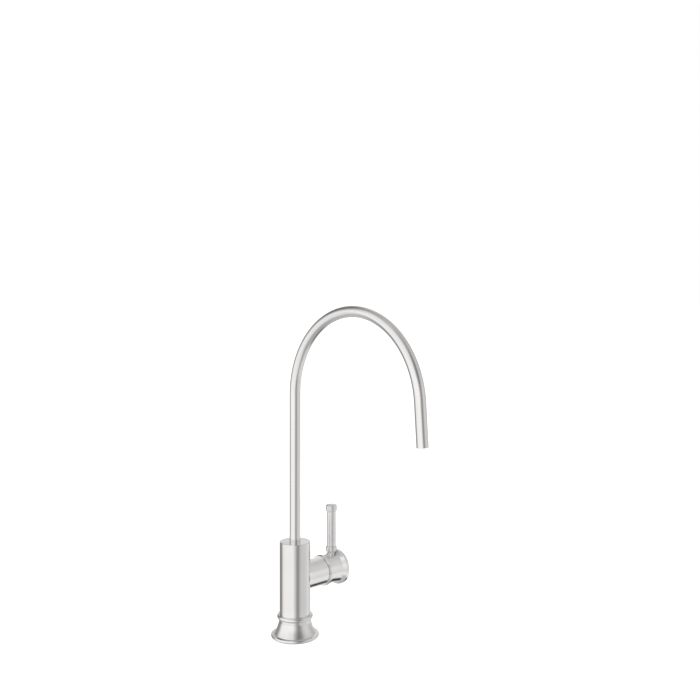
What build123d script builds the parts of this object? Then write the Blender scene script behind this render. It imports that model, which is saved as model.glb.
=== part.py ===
from build123d import *
import os

# Sizes are in millimetres. The origin is on the deck plane, on the axis of the body.
# Z points up, the spout reaches toward -Y and the valve arm toward +X.

# Fits and clearances
running_clearance = 0.05
seated_clearance = 0.02
o_ring_clearance = 0.30
thread_clearance = 0.02

# Spout tube
tube_diameter = 12.0
tube_wall = 1.0
tube_foot_above_arm_axis = 25.0
bend_start_height = 270.0
bend_radius = 94.1
bend_angle = 175.8
tip_length = 43.6
tip_edge_radius = 0.35

# Spout spigot, measured down from the foot of the tube
spigot_length = 14.0
spigot_nipple_length = 10.0
spigot_bore_diameter = 7.2
spigot_lead_chamfer = 0.6
retaining_groove_width = 3.2
retaining_groove_depth = 1.4
o_ring_section = 1.3
o_ring_groove_width = 1.8
lower_o_ring_above_spigot_end = 2.6
upper_o_ring_below_foot = 1.8
grub_below_foot = 6.0
spigot_end_gap = 4.0

# Outlet insert
straightener_length = 8.0
straightener_recess = 2.5
straightener_wall = 0.8
straightener_vane = 0.6
straightener_vanes = 3

# Body column
body_diameter = 34.4
body_top_height = 105.9
body_top_chamfer = 0.5
body_shoulder_height = 25.2
body_spigot_diameter = 30.0
body_spigot_bottom = 6.0
shank_socket_top = 20.0
riser_offset = 6.5
riser_diameter = 5.6
outlet_riser_offset = 5.0
outlet_riser_diameter = 5.0
chamber_floor = 2.0
chamber_diameter = 19.0
arm_socket_floor = 9.0
arm_socket_diameter = 24.0

# Retaining screw at the back of the body
grub_diameter = 4.0
grub_outer_end = 15.0
grub_body_end = 7.2
grub_tip_diameter = 2.6
grub_tip_end = 5.3
grub_hex = 2.0
grub_hex_depth = 2.2

# Base flange
rim_foot_radius = 25.2
rim_radius = 26.8
rim_widest_height = 1.6
rim_top_height = 3.2
rim_top_radius = 26.3
skirt_foot_radius = 23.5
skirt_foot_height = 3.8
skirt_middle_radius = 19.8
skirt_middle_height = 9.9
neck_radius = 17.9
neck_bottom_height = 17.4
neck_top_radius = 18.1
neck_top_height = 20.4
bead_foot_radius = 18.6
bead_foot_height = 20.6
bead_radius = 19.9
bead_widest_height = 22.8
bead_top_radius = 18.2
base_recess_radius = 20.5
base_recess_height = 3.4

# Base gasket
gasket_outer_radius = 24.4
gasket_inner_radius = 22.0
gasket_thickness = 1.8

# Threaded shank and the clamp under the deck
shank_diameter = 14.0
shank_top_height = 17.0
shank_bottom_height = -52.0
shank_bore_diameter = 8.0
shank_end_chamfer = 0.8
thread_pitch = 2.0
thread_depth = 0.8
thread_top_height = -4.0
thread_count = 22
inlet_cone_diameter = 10.4
inlet_cone_depth = 3.0
rubber_washer_top = -22.0
rubber_washer_thickness = 3.0
steel_washer_thickness = 1.5
washer_diameter = 30.0
washer_hole_clearance = 0.3
nut_height = 8.0
nut_across_flats = 22.0
nut_edge_radius = 12.3
nut_flange_diameter = 25.0
nut_flange_thickness = 1.6

# Valve arm
arm_axis_height = 65.0
arm_diameter = 30.8
arm_end = 38.0
arm_edge_radius = 0.4
arm_seal_middle = 11.4
cartridge_seat = 29.5
cartridge_thread_diameter = 22.0

# Cartridge
cartridge_diameter = 16.0
cartridge_start = 4.5
cartridge_flange_end = 33.0
disc_pocket_diameter = 13.2
disc_pocket_end = 15.6
disc_diameter = 13.0
disc_thickness = 3.0
disc_stack_start = 6.0
disc_port_diameter = 3.2
disc_port_offset = 3.4
disc_slot_width = 4.0
disc_slot_depth = 1.5
disc_seal_bore = 6.4
window_width = 6.0
window_length = 3.4
nut_socket_diameter = 13.0
nut_slot_width = 3.0
nut_slot_depth = 2.0

# Stem
stem_diameter = 8.0
stem_end = 50.0
stem_plate_diameter = 12.6
stem_plate_thickness = 2.6
stem_flat_start = 40.0
stem_across_flats = 6.4
stem_o_ring_position = 21.0
stem_clip_thickness = 0.8
stem_clip_diameter = 11.2
stem_clip_groove_depth = 0.8
stem_clip_gap = 0.4
stem_tip_chamfer = 0.5
clip_opening = 5.0

# Handle hub
hub_start = 38.3
hub_end = 65.6
hub_ring_radius = 17.3
hub_ring_end = 41.6
hub_ring_round = 0.4
hub_waist_radius = 15.8
hub_waist_start = 42.4
hub_flare_middle = 53.5
hub_flare_middle_radius = 16.2
hub_flare_end_radius = 17.6
hub_flange_start = 61.4
hub_flange_radius = 19.9
hub_flange_inner_round = 0.5
hub_flange_outer_round = 0.9
hub_cavity_radius = 13.2
hub_web_start = 43.0
hub_bore_end = 50.6
hub_recess_radius = 8.0
hub_recess_start = 58.6
saddle_above_arm_axis = 14.2
saddle_end_radius = 3.6

# Hub screw and cap
screw_diameter = 4.0
screw_tip = 42.5
screw_head_diameter = 7.6
screw_head_height = 2.6
screw_hex = 3.0
screw_hex_depth = 1.8
cap_thickness = 3.0
cap_edge_radius = 0.4

# Lever
lever_position = 55.0
stud_diameter = 5.0
stud_bottom_above_arm_axis = 6.8
stud_end_gap = 0.6
neck_foot_radius = 4.5
neck_foot_length = 1.2
lever_neck_radius = 3.9
lever_neck_length = 4.4
lower_bead_length = 7.0
lower_bead_radius = 6.35
lower_bead_round = 2.2
lever_shaft_diameter = 10.3
lever_shaft_length = 40.1
upper_bead_length = 7.5
upper_bead_radius = 6.45
upper_bead_round = 1.6
core_diameter = 4.0
core_length_in_neck = 4.6
core_length_in_finial = 4.3

# Heights that follow from the sizes above
tube_foot_height = arm_axis_height + tube_foot_above_arm_axis
saddle_height = arm_axis_height + saddle_above_arm_axis
stud_bottom_height = arm_axis_height + stud_bottom_above_arm_axis
stud_hole_bottom = stud_bottom_height - stud_end_gap
neck_foot_height = saddle_height + neck_foot_length
lower_bead_bottom = saddle_height + lever_neck_length
lower_bead_top = lower_bead_bottom + lower_bead_length
upper_bead_bottom = lower_bead_top + lever_shaft_length
upper_bead_top = upper_bead_bottom + upper_bead_length
spigot_bottom_height = tube_foot_height - spigot_length
lower_o_ring_height = spigot_bottom_height + lower_o_ring_above_spigot_end
upper_o_ring_height = tube_foot_height - upper_o_ring_below_foot
grub_height = tube_foot_height - grub_below_foot
spout_socket_floor = spigot_bottom_height - spigot_end_gap
core_bottom_height = lower_bead_top - core_length_in_neck
core_top_height = upper_bead_bottom + core_length_in_finial

arm_frame = Plane(origin=(0, 0, arm_axis_height), x_dir=(0, 1, 0), z_dir=(1, 0, 0))
back_frame = Plane(origin=(0, 0, grub_height), x_dir=(1, 0, 0), z_dir=(0, 1, 0))
from_start = (Align.CENTER, Align.CENTER, Align.MIN)


def rod(diameter, start, end):
    """Solid cylinder along the local z axis."""
    return Pos(0, 0, start) * Cylinder(diameter / 2, end - start, align=from_start)


def bored_rod(diameter, bore, start, end):
    """Cylinder with a through hole along the local z axis."""
    return rod(diameter, start, end) - rod(bore, start, end)


def cone(low_diameter, high_diameter, start, end):
    """Cone frustum along the local z axis."""
    return Pos(0, 0, start) * Cone(low_diameter / 2, high_diameter / 2, end - start, align=from_start)


def o_ring(centre_radius, height):
    """Rubber ring of the shared section around the local z axis."""
    return Pos(0, 0, height) * Torus(centre_radius, o_ring_section / 2)


def turned(outline):
    """Solid of revolution around z from a closed outline in the local x and z directions."""
    profile = make_face(Plane.XZ * outline)
    return revolve(profile, axis=Axis.Z)


def hex_socket(across_flats, start, end):
    """Hexagonal prism along the local z axis."""
    outline = RegularPolygon(across_flats / 2, 6, major_radius=False)
    return Pos(0, 0, start) * extrude(outline, end - start)


def spout_path():
    """Centre line of the gooseneck: riser, one circular bend and a straight tip."""
    riser = Line((0, tube_foot_height), (0, bend_start_height))
    bend = JernArc(riser @ 1, riser % 1, bend_radius, bend_angle)
    tip = Line(bend @ 1, bend @ 1 + (bend % 1) * tip_length)
    return Plane.YZ * (riser + bend + tip)


def outlet_frame():
    """Plane at the outlet, looking back up the tube."""
    path = spout_path()
    return Plane(origin=path @ 1, x_dir=(1, 0, 0), z_dir=-(path % 1))


def spout_tube():
    section = Circle(tube_diameter / 2) - Circle(tube_diameter / 2 - tube_wall)
    tube = sweep(Pos(0, 0, tube_foot_height) * section, path=spout_path())
    outlet_edges = tube.edges().sort_by_distance(outlet_frame().origin)[:2]
    return fillet(outlet_edges, tip_edge_radius)


def o_ring_groove(outer_radius, height):
    """Ring shaped cutter for one rubber ring, open at the outer radius."""
    floor_radius = outer_radius - o_ring_section - (o_ring_clearance - running_clearance)
    cutter_radius = outer_radius + o_ring_section
    low = height - o_ring_groove_width / 2
    return bored_rod(2 * cutter_radius, 2 * (floor_radius - seated_clearance), low, low + o_ring_groove_width)


def spout_o_ring_radius():
    return tube_diameter / 2 + running_clearance - o_ring_clearance - o_ring_section / 2


def spout_spigot():
    nipple_diameter = tube_diameter - 2 * tube_wall - 2 * seated_clearance
    plug = rod(tube_diameter, spigot_bottom_height, tube_foot_height)
    plug = chamfer(plug.edges().group_by(Axis.Z)[0], spigot_lead_chamfer)
    plug += rod(nipple_diameter, tube_foot_height, tube_foot_height + spigot_nipple_length)
    plug -= rod(spigot_bore_diameter, spigot_bottom_height, tube_foot_height + spigot_nipple_length)
    groove_low = grub_height - retaining_groove_width / 2
    groove_floor = tube_diameter - 2 * retaining_groove_depth
    plug -= bored_rod(2 * tube_diameter, groove_floor, groove_low, groove_low + retaining_groove_width)
    plug -= o_ring_groove(tube_diameter / 2, lower_o_ring_height)
    plug -= o_ring_groove(tube_diameter / 2, upper_o_ring_height)
    return plug


def stream_straightener():
    outer = tube_diameter - 2 * tube_wall - 2 * seated_clearance
    low = straightener_recess
    high = low + straightener_length
    insert = bored_rod(outer, outer - 2 * straightener_wall, low, high)
    vane_box = Box(outer - straightener_wall, straightener_vane, straightener_length, align=from_start)
    for index in range(straightener_vanes):
        insert += Pos(0, 0, low) * Rot(0, 0, index * 180 / straightener_vanes) * vane_box
    return outlet_frame() * insert


def body_waterways():
    """Inlet riser, cross port to the valve, the valve chamber and the outlet riser."""
    riser = Pos(-riser_offset, 0, 0) * rod(riser_diameter, shank_top_height, arm_axis_height)
    riser += Pos(-riser_offset, 0, arm_axis_height) * Sphere(riser_diameter / 2)
    cross_port = arm_frame * rod(riser_diameter, -riser_offset, chamber_floor)
    chamber = arm_frame * rod(chamber_diameter, chamber_floor, body_diameter)
    outlet_riser = rod(outlet_riser_diameter, arm_axis_height, spigot_bottom_height)
    outlet_riser = Pos(outlet_riser_offset, 0, 0) * outlet_riser
    return riser + cross_port + chamber + outlet_riser


def body_column():
    column = rod(body_diameter, body_shoulder_height, body_top_height)
    column = chamfer(column.edges().group_by(Axis.Z)[-1], body_top_chamfer)
    column += rod(body_spigot_diameter, body_spigot_bottom, body_shoulder_height)
    column -= rod(shank_diameter + 2 * thread_clearance, body_spigot_bottom, shank_socket_top)
    column -= rod(tube_diameter + 2 * running_clearance, spout_socket_floor, body_top_height)
    column -= body_waterways()
    column -= arm_frame * rod(arm_socket_diameter, arm_socket_floor, body_diameter)
    column -= back_frame * rod(grub_diameter + 2 * thread_clearance, 0, body_diameter)
    return column


def spout_retaining_screw():
    screw = rod(grub_diameter, grub_body_end, grub_outer_end)
    screw += rod(grub_tip_diameter, grub_tip_end, grub_body_end)
    screw -= hex_socket(grub_hex, grub_outer_end - grub_hex_depth, grub_outer_end)
    return back_frame * screw


def base_outline():
    """Outer line of the base from the deck up to the bead, closed along the axis."""
    foot = Line((0, 0), (rim_foot_radius, 0))
    rim = ThreePointArc(foot @ 1, (rim_radius, rim_widest_height), (rim_top_radius, rim_top_height))
    shelf = Line(rim @ 1, (skirt_foot_radius, skirt_foot_height))
    skirt_point = (skirt_middle_radius, skirt_middle_height)
    skirt = ThreePointArc(shelf @ 1, skirt_point, (neck_radius, neck_bottom_height))
    neck = Line(skirt @ 1, (neck_top_radius, neck_top_height))
    bead_foot = Line(neck @ 1, (bead_foot_radius, bead_foot_height))
    bead_point = (bead_radius, bead_widest_height)
    bead = ThreePointArc(bead_foot @ 1, bead_point, (bead_top_radius, body_shoulder_height))
    top = Line(bead @ 1, (0, body_shoulder_height))
    axis = Line(top @ 1, foot @ 0)
    return foot + rim + shelf + skirt + neck + bead_foot + bead + top + axis


def base_flange():
    base = turned(base_outline())
    base -= rod(body_spigot_diameter + 2 * seated_clearance, 0, body_shoulder_height)
    base -= rod(2 * base_recess_radius, 0, base_recess_height)
    groove_outer = 2 * (gasket_outer_radius + seated_clearance)
    groove_inner = 2 * (gasket_inner_radius - seated_clearance)
    base -= bored_rod(groove_outer, groove_inner, 0, gasket_thickness)
    return base


def base_seal():
    return bored_rod(2 * gasket_outer_radius, 2 * gasket_inner_radius, 0, gasket_thickness)


def thread_groove(height):
    """One V shaped ring cut for the shank thread."""
    crest = shank_diameter / 2
    half = thread_pitch / 2
    tip = (crest - thread_depth, height)
    outline = Polyline((crest, height - half), tip, (crest, height + half), close=True)
    return turned(outline)


def mounting_shank():
    shank = rod(shank_diameter, shank_bottom_height, shank_top_height)
    shank = chamfer(shank.edges().group_by(Axis.Z)[0], shank_end_chamfer)
    for index in range(thread_count):
        shank -= thread_groove(thread_top_height - index * thread_pitch)
    shank -= rod(shank_bore_diameter, shank_bottom_height, shank_top_height)
    cone_top = shank_bottom_height + inlet_cone_depth
    shank -= cone(inlet_cone_diameter, shank_bore_diameter, shank_bottom_height, cone_top)
    return shank


def washer(top, thickness):
    hole = shank_diameter + 2 * washer_hole_clearance
    return bored_rod(washer_diameter, hole, top - thickness, top)


def deck_washer_rubber():
    return washer(rubber_washer_top, rubber_washer_thickness)


def deck_washer_steel():
    return washer(rubber_washer_top - rubber_washer_thickness, steel_washer_thickness)


def lock_nut():
    top = rubber_washer_top - rubber_washer_thickness - steel_washer_thickness
    bottom = top - nut_height
    nut = hex_socket(nut_across_flats, bottom, top)
    nut &= rod(2 * nut_edge_radius, bottom, top)
    nut += rod(nut_flange_diameter, top - nut_flange_thickness, top)
    return nut - rod(shank_diameter + 2 * thread_clearance, bottom, top)


def valve_arm():
    sleeve = arm_frame * rod(arm_diameter, 0, arm_end)
    sleeve = fillet(sleeve.edges().group_by(Axis.X)[-1], arm_edge_radius)
    sleeve -= rod(body_diameter + 2 * seated_clearance, 0, body_top_height)
    spigot_diameter = arm_socket_diameter - 2 * seated_clearance
    sleeve += arm_frame * rod(spigot_diameter, arm_socket_floor, cartridge_seat)
    cut = rod(chamber_diameter, 0, arm_end)
    cut += rod(cartridge_thread_diameter, cartridge_seat, arm_end)
    cut += o_ring_groove(arm_socket_diameter / 2, arm_seal_middle)
    return sleeve - arm_frame * cut


def arm_seal():
    centre = arm_socket_diameter / 2 - seated_clearance - o_ring_section / 2
    return arm_frame * o_ring(centre, arm_seal_middle)


def cartridge_body():
    thread = cartridge_thread_diameter - 2 * thread_clearance
    shell = rod(cartridge_diameter, cartridge_start, cartridge_seat)
    shell += rod(thread, cartridge_seat, cartridge_flange_end)
    shell -= rod(disc_pocket_diameter, cartridge_start, disc_pocket_end)
    shell -= rod(stem_diameter + 2 * running_clearance, cartridge_start, cartridge_flange_end)
    window = Box(window_width, 2 * cartridge_diameter, window_length, align=from_start)
    return arm_frame * (shell - Pos(0, 0, disc_pocket_end - window_length) * window)


def cartridge_nut():
    thread = cartridge_thread_diameter - 2 * thread_clearance
    nut = bored_rod(thread, nut_socket_diameter, cartridge_flange_end, arm_end)
    slot = Box(2 * thread, nut_slot_width, nut_slot_depth, align=from_start)
    return arm_frame * (nut - Pos(0, 0, arm_end - nut_slot_depth) * slot)


def disc_seal():
    outer = disc_pocket_diameter - 2 * seated_clearance
    return arm_frame * bored_rod(outer, disc_seal_bore, chamber_floor, disc_stack_start)


def disc_ports():
    port = rod(disc_port_diameter, disc_stack_start, disc_stack_start + 2 * disc_thickness)
    return Pos(0, disc_port_offset, 0) * port + Pos(0, -disc_port_offset, 0) * port


def fixed_disc():
    plate = rod(disc_diameter, disc_stack_start, disc_stack_start + disc_thickness)
    return arm_frame * (plate - disc_ports())


def moving_disc():
    low = disc_stack_start + disc_thickness
    high = low + disc_thickness
    plate = rod(disc_diameter, low, high) - Rot(0, 0, 90) * disc_ports()
    slot_width = disc_slot_width + 2 * seated_clearance
    slot = Box(slot_width, 2 * disc_diameter, disc_slot_depth, align=from_start)
    return arm_frame * (plate - Pos(0, 0, high - disc_slot_depth) * slot)


def stem_drive():
    """Drive plate of the stem with the tongue that turns the moving disc."""
    low = disc_stack_start + 2 * disc_thickness
    plate = rod(stem_plate_diameter, low, low + stem_plate_thickness)
    tongue = Box(disc_slot_width, stem_plate_diameter, disc_slot_depth, align=from_start)
    tongue &= rod(stem_plate_diameter, 0, disc_slot_depth)
    flow_gap = Pos(stem_plate_diameter / 2, 0, 0) * rod(stem_diameter, low, low + stem_plate_thickness)
    plate -= flow_gap
    plate -= Rot(0, 0, 180) * flow_gap
    return plate + Pos(0, 0, low - disc_slot_depth) * tongue


def flat_sided_rod(diameter, across_flats, start, end):
    """Round rod with two flats, used for the stem end and for its hole in the hub."""
    flats = Pos(0, 0, start) * Box(across_flats, 2 * diameter, end - start, align=from_start)
    return rod(diameter, start, end) & flats


def stem_clip_start():
    return cartridge_flange_end + stem_clip_gap


def cartridge_stem():
    plate_low = disc_stack_start + 2 * disc_thickness
    stem = stem_drive() + rod(stem_diameter, plate_low, stem_flat_start)
    stem += flat_sided_rod(stem_diameter, stem_across_flats, stem_flat_start, stem_end)
    stem -= o_ring_groove(stem_diameter / 2, stem_o_ring_position)
    groove_floor = stem_diameter - 2 * stem_clip_groove_depth
    clip_low = stem_clip_start()
    stem -= bored_rod(2 * stem_diameter, groove_floor, clip_low, clip_low + stem_clip_thickness)
    stem -= rod(screw_diameter + 2 * thread_clearance, screw_tip - 1, stem_end)
    return arm_frame * stem


def stem_o_ring():
    centre = stem_diameter / 2 + running_clearance - o_ring_clearance - o_ring_section / 2
    return arm_frame * o_ring(centre, stem_o_ring_position)


def stem_clip():
    low = stem_clip_start()
    bore = stem_diameter - 2 * stem_clip_groove_depth + 2 * seated_clearance
    clip = bored_rod(stem_clip_diameter, bore, low, low + stem_clip_thickness)
    from_side = (Align.CENTER, Align.MIN, Align.MIN)
    mouth = Box(clip_opening, stem_clip_diameter, stem_clip_thickness, align=from_side)
    return arm_frame * (clip - Pos(0, 0, low) * mouth)


def hub_outline():
    """Outer line of the hub: ring, flaring waist and end flange, closed along the axis."""
    back = Line((0, hub_start), (hub_ring_radius - hub_ring_round, hub_start))
    back_round = RadiusArc(back @ 1, (hub_ring_radius, hub_start + hub_ring_round), -hub_ring_round)
    ring_side = Line(back_round @ 1, (hub_ring_radius, hub_ring_end))
    step = Line(ring_side @ 1, (hub_waist_radius, hub_waist_start))
    flare_middle = (hub_flare_middle_radius, hub_flare_middle)
    flare = ThreePointArc(step @ 1, flare_middle, (hub_flare_end_radius, hub_flange_start))
    face = Line(flare @ 1, (hub_flange_radius - hub_flange_inner_round, hub_flange_start))
    inner_round_end = (hub_flange_radius, hub_flange_start + hub_flange_inner_round)
    inner_round = RadiusArc(face @ 1, inner_round_end, -hub_flange_inner_round)
    rim = Line(inner_round @ 1, (hub_flange_radius, hub_end - hub_flange_outer_round))
    outer_round_end = (hub_flange_radius - hub_flange_outer_round, hub_end)
    outer_round = RadiusArc(rim @ 1, outer_round_end, -hub_flange_outer_round)
    front = Line(outer_round @ 1, (0, hub_end))
    axis = Line(front @ 1, back @ 0)
    outline = back + back_round + ring_side + step + flare + face
    return outline + inner_round + rim + outer_round + front + axis


def hub_openings():
    """Cavity over the valve, stem hole, screw hole and cap recess along the hub axis."""
    flats = stem_across_flats + 2 * seated_clearance
    opening = rod(2 * hub_cavity_radius, hub_start, hub_web_start)
    opening += flat_sided_rod(stem_diameter + 2 * seated_clearance, flats, hub_web_start, hub_bore_end)
    opening += rod(screw_diameter + 2 * running_clearance, hub_bore_end, hub_recess_start)
    opening += rod(2 * hub_recess_radius, hub_recess_start, hub_end)
    return opening


def handle_hub():
    hub = arm_frame * (turned(hub_outline()) - hub_openings())
    saddle_length = hub_flange_start - hub_waist_start
    saddle_middle = hub_waist_start + saddle_length / 2
    saddle = Box(saddle_length, 2 * hub_flange_radius, hub_flange_radius, align=from_start)
    saddle = fillet(saddle.edges().filter_by(Axis.Y).group_by(Axis.Z)[0], saddle_end_radius)
    hub -= Pos(saddle_middle, 0, saddle_height) * saddle
    seat = rod(2 * (neck_foot_radius + seated_clearance), saddle_height, neck_foot_height)
    stud_hole = rod(stud_diameter + 2 * thread_clearance, stud_hole_bottom, saddle_height)
    return hub - Pos(lever_position, 0, 0) * (seat + stud_hole)


def hub_screw():
    head_end = hub_recess_start + screw_head_height
    screw = rod(screw_diameter, screw_tip, hub_recess_start)
    screw += rod(screw_head_diameter, hub_recess_start, head_end)
    return arm_frame * (screw - hex_socket(screw_hex, head_end - screw_hex_depth, head_end))


def hub_end_cap():
    cap = rod(2 * (hub_recess_radius - seated_clearance), hub_end - cap_thickness, hub_end)
    return arm_frame * fillet(cap.edges().group_by(Axis.Z)[-1], cap_edge_radius)


def bead(radius, bottom, top, edge_round):
    """Short cylinder with both edges rounded over."""
    blank = rod(2 * radius, bottom, top)
    return fillet(blank.edges().filter_by(GeomType.CIRCLE), edge_round)


def lever_neck():
    neck = rod(2 * lever_neck_radius, saddle_height, lower_bead_bottom + lower_bead_round)
    neck += cone(2 * neck_foot_radius, 2 * lever_neck_radius, saddle_height, neck_foot_height)
    neck += bead(lower_bead_radius, lower_bead_bottom, lower_bead_top, lower_bead_round)
    neck += rod(stud_diameter, stud_bottom_height, saddle_height)
    neck -= rod(core_diameter + 2 * seated_clearance, core_bottom_height, lower_bead_top)
    return Pos(lever_position, 0, 0) * neck


def lever_shaft():
    bore = core_diameter + 2 * seated_clearance
    shaft = bored_rod(lever_shaft_diameter, bore, lower_bead_top, upper_bead_bottom)
    return Pos(lever_position, 0, 0) * shaft


def lever_core():
    return Pos(lever_position, 0, 0) * rod(core_diameter, core_bottom_height, core_top_height)


def lever_finial():
    finial = bead(upper_bead_radius, upper_bead_bottom, upper_bead_top, upper_bead_round)
    finial -= rod(core_diameter + 2 * seated_clearance, upper_bead_bottom, core_top_height)
    return Pos(lever_position, 0, 0) * finial


def spout_o_ring_lower():
    return o_ring(spout_o_ring_radius(), lower_o_ring_height)


def spout_o_ring_upper():
    return o_ring(spout_o_ring_radius(), upper_o_ring_height)


os.makedirs("parts", exist_ok=True)
pieces = {
    "body_column": body_column(),
    "base_flange": base_flange(),
    "base_seal": base_seal(),
    "mounting_shank": mounting_shank(),
    "deck_washer_rubber": deck_washer_rubber(),
    "deck_washer_steel": deck_washer_steel(),
    "lock_nut": lock_nut(),
    "valve_arm": valve_arm(),
    "arm_seal": arm_seal(),
    "cartridge_body": cartridge_body(),
    "cartridge_nut": cartridge_nut(),
    "disc_seal": disc_seal(),
    "fixed_disc": fixed_disc(),
    "spout_retaining_screw": spout_retaining_screw(),
    "spout_tube": spout_tube(),
    "spout_spigot": spout_spigot(),
    "spout_o_ring_lower": spout_o_ring_lower(),
    "spout_o_ring_upper": spout_o_ring_upper(),
    "stream_straightener": stream_straightener(),
    "moving_disc": moving_disc(),
    "cartridge_stem": cartridge_stem(),
    "stem_o_ring": stem_o_ring(),
    "stem_clip": stem_clip(),
    "handle_hub": handle_hub(),
    "hub_screw": hub_screw(),
    "hub_end_cap": hub_end_cap(),
    "lever_neck": lever_neck(),
    "lever_shaft": lever_shaft(),
    "lever_core": lever_core(),
    "lever_finial": lever_finial(),
}
for name, piece in pieces.items():
    export_step(piece, f"parts/{name}.step")
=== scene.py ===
import math

import bpy
from bpy.props import FloatProperty, FloatVectorProperty, PointerProperty
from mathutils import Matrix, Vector


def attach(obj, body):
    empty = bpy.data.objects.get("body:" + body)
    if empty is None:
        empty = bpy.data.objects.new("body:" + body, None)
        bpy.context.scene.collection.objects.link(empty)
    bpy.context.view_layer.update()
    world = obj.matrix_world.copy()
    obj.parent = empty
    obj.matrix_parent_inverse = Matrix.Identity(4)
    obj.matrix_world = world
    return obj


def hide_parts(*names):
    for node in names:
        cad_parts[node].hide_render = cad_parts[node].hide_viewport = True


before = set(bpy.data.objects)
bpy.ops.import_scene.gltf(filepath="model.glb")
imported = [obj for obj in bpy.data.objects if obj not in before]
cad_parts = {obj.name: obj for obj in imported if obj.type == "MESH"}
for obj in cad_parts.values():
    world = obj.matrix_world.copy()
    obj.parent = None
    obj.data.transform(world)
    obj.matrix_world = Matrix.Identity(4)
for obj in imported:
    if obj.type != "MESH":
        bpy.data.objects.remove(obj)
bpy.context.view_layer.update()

bl_info = {
    "name": "Water filter faucet",
    "version": (1, 0, 0),
    "blender": (4, 5, 0),
    "location": "View3D > Sidebar > Faucet",
    "description": "Models the pieces of a gooseneck water filter faucet and its studio",
    "category": "Add Mesh",
}


# Gap between a piece and the bore that it sits in.
FIT = 0.00002
# Points closer together than this are one point.
MERGE = 1e-6


def size(name, description, default, lowest=0.0):
    """A length or a height in metres that the user can change."""
    return FloatProperty(
        name=name, description=description, default=default, min=lowest, unit="LENGTH", precision=5
    )


def pixels(name, description, default, lowest=0.0):
    """A place or a length in the picture that the user can change."""
    return FloatProperty(name=name, description=description, default=default, min=lowest, subtype="PIXEL")


def share(name, description, default):
    """A number from 0 to 1 that the user can change."""
    return FloatProperty(
        name=name, description=description, default=default, min=0.0, max=1.0, subtype="FACTOR"
    )


def angle(name, description, degrees):
    """An angle that the user can change."""
    return FloatProperty(name=name, description=description, default=math.radians(degrees), subtype="ANGLE")


def colour(name, description, default):
    """A colour that the user can change."""
    return FloatVectorProperty(
        name=name, description=description, default=default, size=3, min=0.0, max=1.0, subtype="COLOR"
    )


class FaucetSpoutSizes(bpy.types.PropertyGroup):
    tube_radius: size("Tube radius", "Outer radius of the spout tube", 0.006)
    tube_wall: size("Tube wall", "Wall thickness of the spout tube", 0.001)
    foot_height: size("Foot height", "Height at which the tube starts inside the body", 0.09)
    bend_start: size("Bend start", "Height at which the riser turns into the bend", 0.27)
    bend_radius: size("Bend radius", "Radius of the bend at the centre line of the tube", 0.0941)
    bend_angle: angle("Bend angle", "Angle that the bend turns through", 175.8)
    tip_length: size("Tip length", "Straight length between the bend and the outlet", 0.0436)
    edge_round: size("Edge rounding", "Rounding of both edges of the outlet", 0.0003)


class FaucetBodySizes(bpy.types.PropertyGroup):
    radius: size("Radius", "Outer radius of the body column", 0.0172)
    top: size("Top height", "Height of the flat top of the body", 0.1059)
    shoulder: size("Shoulder height", "Height at which the body stands on the base", 0.0252)
    edge_round: size("Edge rounding", "Rounding of the top edge", 0.0006)
    socket_radius: size("Socket radius", "Radius of the bore that the spout turns in", 0.00605)
    socket_floor: size("Socket floor", "Height of the floor of the spout bore", 0.072)
    spigot_radius: size("Spigot radius", "Radius of the foot that sits in the base", 0.015)
    spigot_bottom: size("Spigot bottom", "Height of the underside of that foot", 0.006)
    grub_height: size("Screw height", "Height of the retaining screw at the back", 0.084)
    grub_radius: size("Screw hole radius", "Radius of the hole of the retaining screw", 0.00202)


class FaucetBaseSizes(bpy.types.PropertyGroup):
    foot_radius: size("Foot radius", "Radius of the flat underside", 0.0252)
    rim_radius: size("Rim radius", "Largest radius of the rim", 0.02674)
    rim_height: size("Rim height", "Height at which the rim is widest", 0.0016)
    rim_top_radius: size("Rim top radius", "Radius at which the rim turns into its top", 0.0263)
    rim_top: size("Rim top height", "Height at which the rim turns into its top", 0.0036)
    skirt_foot_radius: size("Skirt foot radius", "Radius of the skirt where it meets the rim", 0.023)
    skirt_foot: size("Skirt foot height", "Height of the skirt where it meets the rim", 0.0038)
    skirt_middle_radius: size("Skirt middle radius", "Radius of the skirt half way up", 0.0201)
    skirt_middle: size("Skirt middle height", "Height of that place", 0.0099)
    neck_radius: size("Neck radius", "Smallest radius, under the bead", 0.0179)
    neck: size("Neck height", "Height at which the skirt ends in the neck", 0.0174)
    bead_radius: size("Bead radius", "Largest radius of the bead under the body", 0.0199)
    bead_height: size("Bead height", "Height at which the bead is widest", 0.0223)
    bead_foot_radius: size("Bead foot radius", "Radius at which the bead starts", 0.0187)
    bead_foot: size("Bead foot height", "Height at which the bead starts", 0.0206)
    bead_top_radius: size("Bead top radius", "Radius at which the bead turns into its flat top", 0.0191)
    bead_top: size("Bead top height", "Height of that place", 0.025)


class FaucetArmSizes(bpy.types.PropertyGroup):
    height: size("Axis height", "Height of the axis of the valve arm", 0.065)
    radius: size("Arm radius", "Outer radius of the valve arm", 0.0154)
    end: size("Arm end", "Distance of the end of the arm from the body axis", 0.038)
    edge_round: size("Edge rounding", "Rounding of the end of the arm", 0.0002)
    saddle_gap: size("Saddle gap", "Gap between the arm and the body", 0.00002)
    spigot_radius: size("Spigot radius", "Radius of the part of the arm that enters the body", 0.01198)
    bore_radius: size("Bore radius", "Radius of the valve chamber in the arm", 0.0095)


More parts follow.
